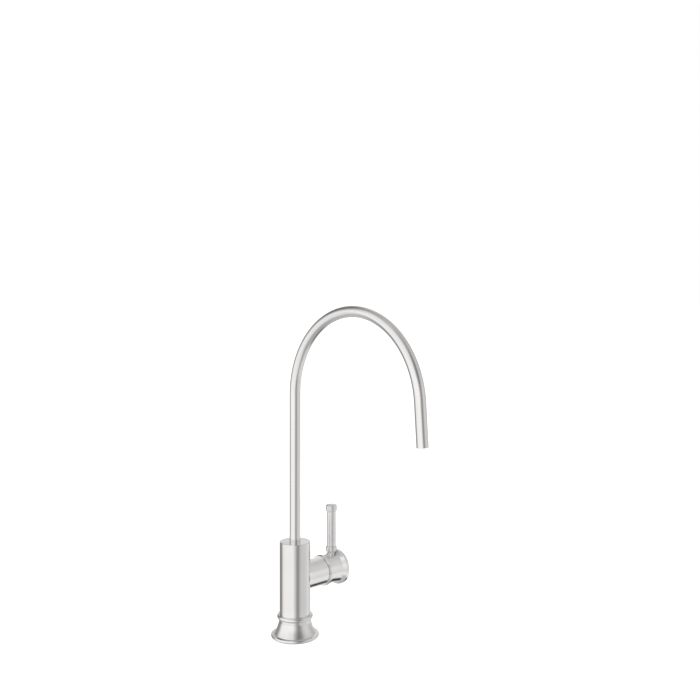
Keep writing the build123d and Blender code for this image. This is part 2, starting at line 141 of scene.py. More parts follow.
class FaucetHubSizes(bpy.types.PropertyGroup):
    start: size("Start", "Distance of the inner face from the body axis", 0.0383)
    end: size("End", "Distance of the outer face from the body axis", 0.0656)
    ring_radius: size("Ring radius", "Radius of the ring next to the arm", 0.0173)
    ring_end: size("Ring end", "Distance of the outer side of that ring", 0.0416)
    waist_radius: size("Waist radius", "Smallest radius of the hub", 0.0158)
    waist_start: size("Waist start", "Distance at which the waist starts, past the ring", 0.0424)
    flare_start: size("Flare start", "Distance at which the waist turns out to the flange", 0.0584)
    flare_radius: size("Flare radius", "Radius of the waist at that place", 0.0168)
    flange_start: size("Flange start", "Distance of the inner side of the flange", 0.0614)
    flange_radius: size("Flange radius", "Radius of the flange", 0.0199)
    flange_round: size("Flange rounding", "Rounding of the outer edge of the flange", 0.0009)
    saddle_height: size("Saddle height", "Height of the flat that the lever stands on", 0.0792)
    saddle_round: size("Saddle rounding", "Radius of the sweep from that flat up to the flange", 0.0085)


class FaucetLeverSizes(bpy.types.PropertyGroup):
    place: size("Place", "Distance of the lever from the body axis", 0.055)
    neck_radius: size("Neck radius", "Radius of the neck above the hub", 0.0039)
    lower_bead_radius: size("Lower bead radius", "Radius of the bead above the neck", 0.00635)
    lower_bead_bottom: size("Lower bead bottom", "Height of the underside of the lower bead", 0.0836)
    lower_bead_top: size("Lower bead top", "Height of the top of the lower bead", 0.0906)
    shaft_radius: size("Shaft radius", "Radius of the straight part of the lever", 0.00515)
    core_bore: size("Core bore radius", "Radius of the bore for the core rod", 0.00202)
    upper_bead_radius: size("Upper bead radius", "Radius of the bead at the tip", 0.00645)
    upper_bead_bottom: size("Upper bead bottom", "Height of the underside of the tip bead", 0.1307)
    upper_bead_top: size("Upper bead top", "Height of the top of the tip bead", 0.1382)


class FaucetClampSizes(bpy.types.PropertyGroup):
    shank_radius: size("Shank radius", "Outer radius of the threaded shank", 0.007)
    shank_bore: size("Shank bore radius", "Radius of the water way in the shank", 0.004)
    shank_bottom: size("Shank bottom", "Height of the lower end of the shank", -0.052, lowest=-0.2)
    thread_pitch: size("Thread pitch", "Rise of the thread in one turn", 0.002)
    thread_depth: size("Thread depth", "Depth of the thread", 0.0008)
    thread_length: size("Thread length", "Length of the shank that is threaded", 0.0464)
    washer_radius: size("Washer radius", "Outer radius of both washers", 0.015)
    nut_width: size("Nut width", "Width across the flats of the lock nut", 0.022)
    nut_height: size("Nut height", "Height of the lock nut", 0.008)


class FaucetFinishes(bpy.types.PropertyGroup):
    steel: colour("Brushed metal", "Colour of the brushed outer metal", (0.86, 0.848, 0.838))
    brass: colour("Brass", "Colour of the brass of the shank and the valve", (0.80, 0.62, 0.36))
    zinc: colour("Zinc plate", "Colour of the steel washer and the screws", (0.62, 0.63, 0.64))
    rubber: colour("Rubber", "Colour of the washer, the gasket and the rings", (0.022, 0.022, 0.023))
    ceramic: colour("Ceramic", "Colour of the two valve discs", (0.86, 0.85, 0.82))
    plastic: colour("Plastic", "Colour of the stream straightener", (0.80, 0.81, 0.82))
    roughness: share("Roughness", "Roughness of the brushed metal", 0.15)
    grain: share("Grain", "Strength of the brushed lines", 0.5)
    wear: share("Edge wear", "Polish on the edges that are touched", 0.35)


class FaucetStudio(bpy.types.PropertyGroup):
    azimuth: angle("Azimuth", "Turn of the camera from the y axis", 43.53)
    distance: size("Distance", "Level distance from the camera to the body axis", 1.0075)
    focal_pixels: pixels("Focal length", "Focal length in pixels of the picture", 900.0, lowest=1.0)
    picture_side: pixels("Picture side", "Width and height of the picture in pixels", 700.0, lowest=1.0)
    foot_column: pixels("Foot column", "Column of the picture with the foot of the body axis", 295.0)
    foot_row: pixels("Foot row", "Row of the picture with the foot of the body axis", 635.77)
    horizon_row: pixels("Horizon row", "Row of the picture with the horizon", 297.3)
    level: FloatProperty(name="Light level", description="Strength of the studio light", default=1.0, min=0.0)


def only(piece=None):
    """Leaves edit mode and selects just this piece."""
    if bpy.context.mode != "OBJECT":
        bpy.ops.object.mode_set(mode="OBJECT")
    bpy.ops.object.select_all(action="DESELECT")
    if piece is not None:
        piece.select_set(True)
        bpy.context.view_layer.objects.active = piece


def softened(*corners, steps=5, guard=0.0004):
    """Stations along a line of corners (radius, height, rounding), each rounded corner as an arc.

    A station beside each arc keeps the flat next to it flat.
    """
    stations = []
    for index, corner in enumerate(corners):
        point = Vector(corner[:2])
        rounding = corner[2] if len(corner) > 2 else 0.0
        if rounding == 0.0:
            stations.append(tuple(point))
            continue
        before = Vector(corners[index - 1][:2]) - point
        after = Vector(corners[index + 1][:2]) - point
        half = before.angle(after) / 2
        reach = rounding / math.tan(half)
        toward_middle = (before.normalized() + after.normalized()).normalized()
        middle = point + toward_middle * (rounding / math.sin(half))
        first = point + before.normalized() * reach - middle
        last = point + after.normalized() * reach - middle
        start = math.atan2(first.y, first.x)
        sweep = (math.atan2(last.y, last.x) - start + math.pi) % (2 * math.pi) - math.pi
        if before.length > reach + 2 * guard:
            stations.append(tuple(point + before.normalized() * (reach + guard)))
        for step in range(steps + 1):
            turn = start + sweep * step / steps
            stations.append((middle.x + rounding * math.cos(turn), middle.y + rounding * math.sin(turn)))
        if after.length > reach + 2 * guard:
            stations.append(tuple(point + after.normalized() * (reach + guard)))
    return stations


def arc_through(start, middle, end, steps):
    """Points of the arc that passes three places, both ends included."""
    (ax, ay), (bx, by), (cx, cy) = start, middle, end
    scale = 2 * (ax * (by - cy) + bx * (cy - ay) + cx * (ay - by))
    a, b, c = ax * ax + ay * ay, bx * bx + by * by, cx * cx + cy * cy
    x = (a * (by - cy) + b * (cy - ay) + c * (ay - by)) / scale
    y = (a * (cx - bx) + b * (ax - cx) + c * (bx - ax)) / scale
    radius = math.hypot(ax - x, ay - y)
    first = math.atan2(ay - y, ax - x)
    sweep = (math.atan2(cy - y, cx - x) - first) % (2 * math.pi)
    if (math.atan2(by - y, bx - x) - first) % (2 * math.pi) > sweep:
        sweep -= 2 * math.pi
    turns = (first + sweep * step / steps for step in range(steps + 1))
    return [(x + radius * math.cos(turn), y + radius * math.sin(turn)) for turn in turns]


def ring_line(inner, outer, low, high):
    """Closed line of a plain ring."""
    return [(inner, low), (outer, low), (outer, high), (inner, high), (inner, low)]


def turn_piece(name, line, segments=96, longest=0.006):
    """Turned piece around the z axis from a line of (radius, height) stations.

    A line that ends where it starts gives a bored piece. Any other line gets a flat at both ends.
    """
    bored = math.dist(line[0], line[-1]) < MERGE
    radius, height = line[0]
    only()
    bpy.ops.mesh.primitive_circle_add(
        vertices=segments,
        radius=radius,
        fill_type="NOTHING" if bored else "NGON",
        location=(0, 0, height),
    )
    piece = bpy.context.object
    piece.name = name
    bpy.ops.object.mode_set(mode="EDIT")
    bpy.ops.mesh.select_all(action="SELECT")
    for next_radius, next_height in line[1:]:
        spans = max(1, math.ceil(math.dist((radius, height), (next_radius, next_height)) / longest))
        rise = (next_height - height) / spans
        growth = (next_radius - radius) / spans
        for _ in range(spans):
            bpy.ops.mesh.extrude_region_move(TRANSFORM_OT_translate={"value": (0, 0, rise)})
            scale = (radius + growth) / radius
            height += rise
            radius += growth
            bpy.ops.transform.resize(value=(scale, scale, 1), center_override=(0, 0, height))
    close_skin()
    only(piece)
    bpy.ops.object.transform_apply(location=True, rotation=False, scale=False)
    return piece


def close_skin():
    """In edit mode, merges points that coincide and points all faces outward."""
    bpy.ops.mesh.select_all(action="SELECT")
    bpy.ops.mesh.remove_doubles(threshold=MERGE)
    bpy.ops.mesh.normals_make_consistent(inside=False)


def place(piece, shift=(0.0, 0.0, 0.0), along_x=False):
    """Moves a turned piece to its axis. Its place goes into its mesh."""
    only(piece)
    piece.location = shift
    if along_x:
        piece.rotation_euler = (0, math.pi / 2, 0)
    bpy.ops.object.transform_apply(location=True, rotation=True, scale=True)
    return piece


def round_cutter(radius, start, end, segments=64):
    """Round cutter between two points, which carve uses up."""
    start, end = Vector(start), Vector(end)
    only()
    bpy.ops.mesh.primitive_cylinder_add(
        vertices=segments,
        radius=radius,
        depth=(end - start).length,
        location=(start + end) / 2,
        rotation=(end - start).to_track_quat("Z", "Y").to_euler(),
    )
    cutter = bpy.context.object
    bpy.ops.object.transform_apply(location=True, rotation=True, scale=True)
    return cutter


def box_cutter(low, high):
    """Square cutter between two corners."""
    low, high = Vector(low), Vector(high)
    only()
    bpy.ops.mesh.primitive_cube_add(size=1, location=(low + high) / 2)
    cutter = bpy.context.object
    cutter.scale = high - low
    bpy.ops.object.transform_apply(location=True, rotation=True, scale=True)
    return cutter


def carve(piece, cutter, operation="DIFFERENCE"):
    """Cuts or joins with another solid, which is used up."""
    modifier = piece.modifiers.new("carve", "BOOLEAN")
    modifier.operation = operation
    modifier.solver = "EXACT"
    modifier.object = cutter
    only(piece)
    bpy.ops.object.modifier_apply(modifier=modifier.name)
    bpy.data.objects.remove(cutter)


def drill(piece, radius, start, end, segments=64):
    """Cuts a round hole between two points."""
    carve(piece, round_cutter(radius, start, end, segments))


def smooth(piece, sharpest=32.0):
    """Smooth shading that keeps the sharp edges, with the large faces kept flat."""
    only(piece)
    bpy.ops.object.shade_smooth_by_angle(angle=math.radians(sharpest))
    modifier = piece.modifiers.new("even", "WEIGHTED_NORMAL")
    modifier.keep_sharp = True
    bpy.ops.object.modifier_apply(modifier=modifier.name)


def finish_piece(piece, body, slot, node):
    """Gives a piece its finish, the body that it moves with and the solid that it stands for."""
    smooth(piece)
    piece.data.materials.clear()
    piece.data.materials.append(finish_of(slot))
    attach(piece, body)
    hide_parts(node)

def node_tree(name):
    """New material with an empty node tree."""
    finish = bpy.data.materials.new(name)
    finish.use_nodes = True
    finish.node_tree.nodes.clear()
    return finish, finish.node_tree


def grey(level):
    """Opaque grey."""
    return level, level, level, 1.0


def wire(tree, target, value):
    """Links a socket to another one or gives it a plain value."""
    if isinstance(value, bpy.types.NodeSocket):
        tree.links.new(value, target)
    else:
        target.default_value = value


def add_node(tree, kind, **inputs):
    """New shader node with its inputs, whose names have _ for a space."""
    node = tree.nodes.new("ShaderNode" + kind)
    for label, value in inputs.items():
        wire(tree, node.inputs[label.replace("_", " ")], value)
    return node


def calculate(tree, operation, *values, clamp=False):
    """Math node with its inputs."""
    node = add_node(tree, "Math")
    node.operation = operation
    node.use_clamp = clamp
    for target, value in zip(node.inputs, values):
        wire(tree, target, value)
    return node.outputs[0]


def blend_colours(tree, factor, first, second, kind="MIX"):
    """Mix node for two colours."""
    node = add_node(tree, "Mix")
    node.data_type = "RGBA"
    node.blend_type = kind
    for target, value in zip((node.inputs[0], *node.inputs[6:8]), (factor, first, second)):
        wire(tree, target, value)
    return node.outputs[2]


def remap(tree, value, low, high, to_low, to_high):
    """Map Range node, held inside its range."""
    node = add_node(tree, "MapRange")
    for target, item in zip(node.inputs, (value, low, high, to_low, to_high)):
        wire(tree, target, item)
    return node.outputs[0]


def noise(tree, vector, scale, detail=3.0, roughness=0.5):
    """Noise node that reads a vector."""
    node = add_node(tree, "TexNoise", Vector=vector, Scale=scale, Detail=detail, Roughness=roughness)
    return node.outputs["Fac"]


def object_place(tree):
    """Object coordinates of the piece."""
    return add_node(tree, "TexCoord").outputs["Object"]


def group_tree(name, inputs, outputs):
    """New shader node group with its named sockets, and both sets of sockets inside it."""
    group = bpy.data.node_groups.new(name, "ShaderNodeTree")
    for label, kind, default in inputs:
        socket = group.interface.new_socket(name=label, in_out="INPUT", socket_type="NodeSocket" + kind)
        if default is not None:
            socket.default_value = default
    for label, kind in outputs:
        group.interface.new_socket(name=label, in_out="OUTPUT", socket_type="NodeSocket" + kind)
    return group, group.nodes.new("NodeGroupInput").outputs, group.nodes.new("NodeGroupOutput").inputs


def turned_grain_group():
    """Fine lines round the z axis of the vector, as a polishing belt leaves them on a turned piece."""
    group, given, result = group_tree(
        "turned_grain",
        (("Vector", "Vector", None), ("Lines", "Float", 2600.0), ("Strength", "Float", 0.5)),
        (("Shade", "Float"), ("Height", "Float")),
    )
    stretch = 55.0
    x, y, z = add_node(group, "SeparateXYZ", Vector=given["Vector"]).outputs
    squares = calculate(group, "ADD", calculate(group, "MULTIPLY", x, x), calculate(group, "MULTIPLY", y, y))
    along = calculate(group, "ADD", z, calculate(group, "SQRT", squares))
    lines = add_node(
        group,
        "CombineXYZ",
        X=calculate(group, "MULTIPLY", x, stretch),
        Y=calculate(group, "MULTIPLY", y, stretch),
        Z=calculate(group, "MULTIPLY", along, given["Lines"]),
    ).outputs[0]
    fine = calculate(group, "MULTIPLY", noise(group, lines, 1.0, detail=4.0, roughness=0.65), 0.7)
    coarse = calculate(group, "MULTIPLY", noise(group, lines, 0.22, detail=2.0), 0.3)
    both = calculate(group, "ADD", fine, coarse)
    level = calculate(group, "SUBTRACT", both, 0.5)
    wire(group, result["Shade"], calculate(group, "MULTIPLY_ADD", level, given["Strength"], 0.5))
    wire(group, result["Height"], both)
    return group


def edge_polish_group():
    """Mask of the edges that hands and cloths rub bright."""
    group, given, result = group_tree(
        "edge_polish", (("Amount", "Float", 0.35), ("Vector", "Vector", None)), (("Mask", "Float"),)
    )
    edges = remap(group, add_node(group, "NewGeometry").outputs["Pointiness"], 0.505, 0.56, 0.0, 1.0)
    patches = remap(group, noise(group, given["Vector"], 240.0), 0.35, 0.6, 0.4, 1.0)
    rubbed = calculate(group, "MULTIPLY", edges, patches)
    wire(group, result["Mask"], calculate(group, "MULTIPLY", rubbed, given["Amount"], clamp=True))
    return group


def tone_drift_group():
    """Slow change of tone and gloss over a surface, with soft smudges."""
    group, given, result = group_tree(
        "tone_drift",
        (("Colour", "Color", grey(0.8)), ("Vector", "Vector", None), ("Amount", "Float", 0.05)),
        (("Colour", "Color"), ("Smudge", "Float")),
    )
    slow = noise(group, given["Vector"], 32.0, detail=2.0)
    spots = noise(group, given["Vector"], 210.0, detail=4.0, roughness=0.6)
    shade = remap(group, slow, 0.35, 0.65, calculate(group, "SUBTRACT", 1.0, given["Amount"]), 1.0)
    tone = add_node(group, "CombineColor", Red=shade, Green=shade, Blue=shade).outputs[0]
    wire(group, result["Colour"], blend_colours(group, 1.0, given["Colour"], tone, "MULTIPLY"))
    wire(group, result["Smudge"], remap(group, spots, 0.5, 0.72, 0.0, 1.0))
    return group


def use_group(tree, name, **values):
    """Outputs of a shared node group, placed in a tree with its own values."""
    makers = {
        "turned_grain": turned_grain_group,
        "edge_polish": edge_polish_group,
        "tone_drift": tone_drift_group,
    }
    node = tree.nodes.new("ShaderNodeGroup")
    node.node_tree = bpy.data.node_groups.get(name) or makers[name]()
    for label, value in values.items():
        wire(tree, node.inputs[label], value)
    return node.outputs


def on_axis(shift=(0.0, 0.0, 0.0), along_x=False):
    """Vector maker: object coordinates moved so that the turning axis of the piece is the z axis."""
    turned = (0, -math.pi / 2, 0) if along_x else (0, 0, 0)
    location = (shift[2], 0, 0) if along_x else tuple(-part for part in shift)
    return lambda tree: add_node(
        tree, "Mapping", Vector=object_place(tree), Location=location, Rotation=turned
    ).outputs[0]


def along_tube(tree):
    """Vector of the spout tube: across, outwards and along its centre line."""
    attribute = add_node(tree, "Attribute")
    attribute.attribute_name = "tube_place"
    return attribute.outputs["Vector"]


def grain_direction(tree, axis):
    """Direction of the brushed lines, round an axis or, with UV, round the spout tube."""
    direction = add_node(tree, "Tangent")
    if axis == "UV":
        direction.direction_type = "UV_MAP"
        direction.uv_map = "around_tube"
    else:
        direction.direction_type = "RADIAL"
        direction.axis = axis
    return direction.outputs[0]


def milled_flat(tree, coordinates):
    """Mask of the milled flat for the lever, above its floor and between the ring and the flange."""
    hub = bpy.context.scene.faucet_hub
    place = add_node(tree, "SeparateXYZ", Vector=coordinates).outputs
    above = calculate(tree, "GREATER_THAN", place["Z"], hub.saddle_height - 0.0002)
    inside = calculate(tree, "LESS_THAN", place["X"], hub.flange_start + 0.0004)
    outside = calculate(tree, "GREATER_THAN", place["X"], hub.ring_end)
    return calculate(tree, "MULTIPLY", calculate(tree, "MULTIPLY", above, inside), outside)


def brushed_metal(name, tint, vector_maker, roughness, tangent, lines=2600.0, milled=0.0):
    """Metal with fine turned lines, a slow drift of tone and polished edges."""
    settings = bpy.context.scene.faucet_finishes
    finish, tree = node_tree(name)
    coordinates = object_place(tree)
    grain = use_group(tree, "turned_grain", Vector=vector_maker(tree), Lines=lines, Strength=settings.grain)
    drift = use_group(tree, "tone_drift", Colour=(*tint, 1.0), Vector=coordinates, Amount=0.03)
    polish = use_group(tree, "edge_polish", Amount=settings.wear, Vector=coordinates)["Mask"]
    lined = remap(tree, grain["Shade"], 0.25, 0.75, 0.0, 1.0)
    dark_line = blend_colours(tree, 1.0, drift["Colour"], grey(0.93), "MULTIPLY")
    toned = blend_colours(tree, lined, dark_line, drift["Colour"])
    bright = tuple(min(1.0, part * 1.12) for part in tint)
    rough = remap(tree, grain["Shade"], 0.25, 0.75, roughness + 0.03, roughness - 0.03)
    rough = calculate(tree, "MULTIPLY_ADD", drift["Smudge"], 0.03, rough)
    rough = calculate(tree, "MULTIPLY_ADD", polish, -0.08, rough)
    if milled:
        rough = calculate(tree, "MULTIPLY_ADD", milled_flat(tree, coordinates), milled, rough)
    shader = add_node(
        tree,
        "BsdfPrincipled",
        Metallic=1.0,
        Anisotropic=0.7,
        Anisotropic_Rotation=0.25,
        Base_Color=blend_colours(tree, polish, toned, (*bright, 1.0)),
        Roughness=rough,
        Normal=add_node(tree, "Bump", Strength=0.5, Distance=0.000004, Height=grain["Height"]).outputs[0],
    )
    if tangent:
        wire(tree, shader.inputs["Tangent"], grain_direction(tree, tangent))
    add_node(tree, "OutputMaterial", Surface=shader.outputs[0])
    return finish


def moulded(name, tint, roughness, scale, bump, coat=0.0):
    """Rubber, plastic or fired ceramic: fine pores, a slow drift of tone and worn edges."""
    finish, tree = node_tree(name)
    coordinates = object_place(tree)
    drift = use_group(tree, "tone_drift", Colour=(*tint, 1.0), Vector=coordinates, Amount=0.12)
    polish = use_group(tree, "edge_polish", Amount=0.3, Vector=coordinates)["Mask"]
    pores = noise(tree, coordinates, scale, detail=5.0, roughness=0.7)
    light = tuple(min(1.0, part * 1.4 + 0.02) for part in tint)
    rough = remap(tree, pores, 0.3, 0.7, roughness - 0.06, roughness + 0.06)
    shader = add_node(
        tree,
        "BsdfPrincipled",
        Coat_Roughness=0.2,
        Coat_Weight=coat,
        Base_Color=blend_colours(tree, polish, drift["Colour"], (*light, 1.0)),
        Roughness=calculate(tree, "MULTIPLY_ADD", drift["Smudge"], 0.05, rough),
        Normal=add_node(tree, "Bump", Strength=0.5, Distance=bump, Height=pores).outputs[0],
    )
    add_node(tree, "OutputMaterial", Surface=shader.outputs[0])
    return finish


def finish_of(slot):
    """Finish of a material slot of the record, made the first time it is asked for."""
    name = slot + "_finish"
    if name in bpy.data.materials:
        return bpy.data.materials[name]
    scene = bpy.context.scene
    colours = scene.faucet_finishes
    steel, brass, zinc = tuple(colours.steel), tuple(colours.brass), tuple(colours.zinc)
    # Steel lightened by 15 %: a lighter copy of the same metal that paints extra light onto the arm, the hub
    # and the lever.
    steel_with_painted_light = tuple(min(1.0, part * 1.15) for part in steel)
    rough = colours.roughness
    upright = on_axis()
    arm = on_axis((0.0, 0.0, scene.faucet_arm.height), True)
    lever = on_axis((scene.faucet_lever.place, 0.0, 0.0))
    makers = {
        "body_metal": lambda: brushed_metal(name, steel, upright, rough, "Z"),
        "base_metal": lambda: brushed_metal(name, steel, upright, rough, "Z"),
        "spout_metal": lambda: brushed_metal(name, steel, along_tube, rough, "UV"),
        "arm_metal": lambda: brushed_metal(name, steel_with_painted_light, arm, rough, "X"),
        "hub_metal": lambda: brushed_metal(name, steel_with_painted_light, arm, rough, "X", milled=0.35),
        "lever_metal": lambda: brushed_metal(name, steel_with_painted_light, lever, rough + 0.35, "Z"),
        "shank_brass": lambda: brushed_metal(name, brass, upright, 0.34, "Z", lines=1500.0),
        "nut_brass": lambda: brushed_metal(name, brass, upright, 0.38, "Z", lines=1200.0),
        "cartridge_brass": lambda: brushed_metal(name, brass, arm, 0.34, "X", lines=1800.0),
        "stem_brass": lambda: brushed_metal(name, brass, arm, 0.3, "X", lines=2200.0),
        "washer_steel": lambda: brushed_metal(name, zinc, upright, 0.36, "Z", lines=900.0),
        "screw_steel": lambda: brushed_metal(name, zinc, arm, 0.33, None, lines=2400.0),
        "rubber": lambda: moulded(name, colours.rubber, 0.62, 2600.0, 0.00002),
        "ceramic": lambda: moulded(name, colours.ceramic, 0.24, 5200.0, 0.000004, coat=0.2),
        "insert_plastic": lambda: moulded(name, colours.plastic, 0.4, 1800.0, 0.00001),
    }
    return makers[slot]()


def model_spout_tube(sizes):
    """Gooseneck: one ring of points, pulled up, spun through the bend and pulled out to the outlet."""
    riser_steps, bend_steps, tip_steps = 24, 120, 8
    only()
    bpy.ops.mesh.primitive_circle_add(
        vertices=64, radius=sizes.tube_radius, fill_type="NOTHING", location=(0, 0, sizes.foot_height)
    )
    piece = bpy.context.object
    piece.name = "spout_tube"
    bpy.ops.object.transform_apply(location=True, rotation=False, scale=False)
    bpy.ops.object.mode_set(mode="EDIT")
    bpy.ops.mesh.select_all(action="SELECT")
    rise = (0, 0, (sizes.bend_start - sizes.foot_height) / riser_steps)
    for _ in range(riser_steps):
        bpy.ops.mesh.extrude_region_move(TRANSFORM_OT_translate={"value": rise})
    bend_centre = (0, -sizes.bend_radius, sizes.bend_start)
    bpy.ops.mesh.spin(steps=bend_steps, angle=-sizes.bend_angle, center=bend_centre, axis=(1, 0, 0))
    tip = Vector((0, -math.sin(sizes.bend_angle), math.cos(sizes.bend_angle))) * sizes.tip_length
    for _ in range(tip_steps):
        bpy.ops.mesh.extrude_region_move(TRANSFORM_OT_translate={"value": tip / tip_steps})
    close_skin()
    face_outward(piece, Vector((0, 0, sizes.foot_height)))
    only(piece)
    wall = piece.modifiers.new("wall", "SOLIDIFY")
    wall.thickness = sizes.tube_wall
    wall.offset = -1.0
    bpy.ops.object.modifier_apply(modifier=wall.name)
    bpy.ops.object.mode_set(mode="EDIT")
    bpy.ops.mesh.select_all(action="DESELECT")
    bpy.ops.mesh.edges_select_sharp(sharpness=math.radians(60))
    bpy.ops.mesh.bevel(offset=sizes.edge_round, segments=3, affect="EDGES")
    only(piece)
    mark_tube_places(piece, sizes)
    return piece


def face_outward(piece, axis_point):
    """Turns the faces of an open tube outward if they look at its axis."""
    only(piece)
    face = min(piece.data.polygons, key=lambda item: item.center.z)
    if face.normal.dot(face.center - axis_point) < 0:
        bpy.ops.object.mode_set(mode="EDIT")
        bpy.ops.mesh.select_all(action="SELECT")
        bpy.ops.mesh.flip_normals()


def tube_place(point, sizes):
    """Place of a point of the tube: across the bend, outward in the plane of the bend, along the path."""
    x, y, z = point
    turn = math.atan2(z - sizes.bend_start, y + sizes.bend_radius)
    if turn < 0 and y > -sizes.bend_radius:
        return x, y, z - sizes.bend_start
    if turn < 0 or turn > sizes.bend_angle:
        along = Vector((-math.sin(sizes.bend_angle), math.cos(sizes.bend_angle)))
        across = Vector((math.cos(sizes.bend_angle), math.sin(sizes.bend_angle)))
        bend_end = Vector((-sizes.bend_radius, sizes.bend_start)) + across * sizes.bend_radius
        step = Vector((y, z)) - bend_end
        return x, step.dot(across), sizes.bend_radius * sizes.bend_angle + step.dot(along)
    reach = math.hypot(y + sizes.bend_radius, z - sizes.bend_start)
    return x, reach - sizes.bend_radius, turn * sizes.bend_radius


def mark_tube_places(piece, sizes):
    """Stores where each point lies on the tube, and a map whose U runs round it, for the brushed finish."""
    mesh = piece.data
    places = [tube_place(vertex.co, sizes) for vertex in mesh.vertices]
    stored = mesh.attributes.new("tube_place", "FLOAT_VECTOR", "POINT")
    stored.data.foreach_set("vector", [part for item in places for part in item])
    layer = mesh.uv_layers.new(name="around_tube")
    for face in mesh.polygons:
        turns = [math.atan2(places[index][0], places[index][1]) / (2 * math.pi) for index in face.vertices]
        if max(turns) - min(turns) > 0.5:
            turns = [turn + 1 if turn < 0 else turn for turn in turns]
        for corner, index, turn in zip(face.loop_indices, face.vertices, turns):
            layer.data[corner].uv = (turn, places[index][2])


def model_body_column(sizes, arm, clamp):
    """Body: turned, then bored for the spout, the valve arm, the water ways and the retaining screw."""
    shank_radius, shank_top = clamp.shank_radius + FIT, 0.02
    line = softened(
        (shank_radius, shank_top),
        (shank_radius, sizes.spigot_bottom),
        (sizes.spigot_radius, sizes.spigot_bottom),
        (sizes.spigot_radius, sizes.shoulder),
        (sizes.radius, sizes.shoulder),
        (sizes.radius, sizes.top, sizes.edge_round),
        (sizes.socket_radius, sizes.top, 0.00025),
        (sizes.socket_radius, sizes.socket_floor),
    )
    piece = turn_piece("body_column", line, 128)
    mid = arm.height
    arm_socket, arm_socket_floor, valve_floor = 0.012, 0.009, 0.002
    water_way, water_way_place, outlet_way, outlet_place = 0.0028, -0.0065, 0.0025, 0.005
    grub_tip, outside = 0.0045, 0.02
    drill(piece, arm_socket, (arm_socket_floor, 0, mid), (0.022, 0, mid))
    drill(piece, arm.bore_radius, (valve_floor, 0, mid), (0.0095, 0, mid))
    drill(piece, water_way, (-0.0088, 0, mid), (0.0025, 0, mid), 48)
    drill(piece, water_way, (water_way_place, 0, 0.017), (water_way_place, 0, mid), 48)
    drill(piece, outlet_way, (outlet_place, 0, mid), (outlet_place, 0, sizes.socket_floor + 0.001), 48)
    drill(piece, sizes.grub_radius, (0, grub_tip, sizes.grub_height), (0, outside, sizes.grub_height), 48)
    return piece


def model_base_flange(sizes, body):
    """Base: hollow skirt between a thin rim and a bead, bored for the body and grooved for the gasket."""
    skirt_foot = (sizes.skirt_foot_radius, sizes.skirt_foot)
    neck = (sizes.neck_radius, sizes.neck)
    skirt = arc_through(skirt_foot, (sizes.skirt_middle_radius, sizes.skirt_middle), neck, 24)
    bead_foot, bead_top = (sizes.bead_foot_radius, sizes.bead_foot), (sizes.bead_top_radius, sizes.bead_top)
    bead = arc_through(bead_foot, (sizes.bead_radius, sizes.bead_height), bead_top, 16)
    rim_top = (sizes.rim_top_radius, sizes.rim_top)
    rim = arc_through((sizes.foot_radius, 0), (sizes.rim_radius, sizes.rim_height), rim_top, 12)
    bore = body.spigot_radius + FIT
    relief_radius, relief_top = 0.0205, 0.0034
    gasket_inner, gasket_outer, gasket_top = 0.02198, 0.02442, 0.0018
    line = [
        (bore, relief_top),
        (relief_radius, relief_top),
        (relief_radius, 0.0),
        (gasket_inner, 0.0),
        (gasket_inner, gasket_top),
        (gasket_outer, gasket_top),
        (gasket_outer, 0.0),
    ]
    line += rim + softened(rim_top, (*skirt_foot, 0.0002), skirt[2], guard=0.0001)[1:-1] + skirt[2:]
    seam = (sizes.neck_radius + 0.0002, sizes.bead_foot - 0.0002)
    shoulder = (sizes.bead_top_radius - 0.0003, body.shoulder)
    line += [seam, *bead, shoulder, (bore, body.shoulder)]
    return turn_piece("base_flange", line + line[:1], 160, 0.004)


def model_valve_arm(sizes, body):
    """Valve arm: bored sleeve, cut to the round of the body, with a narrower foot that enters the body."""
    foot, nut_radius, nut_floor, mid = 0.009, 0.011, 0.0295, sizes.height
    line = softened(
        (sizes.bore_radius, foot),
        (sizes.radius, foot),
        (sizes.radius, sizes.end, sizes.edge_round),
        (nut_radius, sizes.end),
        (nut_radius, nut_floor),
        (sizes.bore_radius, nut_floor),
        (sizes.bore_radius, foot),
    )
    piece = place(turn_piece("valve_arm", line, 128, 0.004), (0, 0, mid), True)
    saddle = round_cutter(body.radius + sizes.saddle_gap, (0, 0, 0.04), (0, 0, 0.09), 128)
    drill(saddle, sizes.spigot_radius, (0.005, 0, mid), (0.03, 0, mid), 96)
    carve(piece, saddle)
    seal_groove = ring_line(0.01043, 0.0133, 0.0105, 0.0123)
    carve(piece, place(turn_piece("groove", seal_groove, 96), (0, 0, mid), True))
    return piece


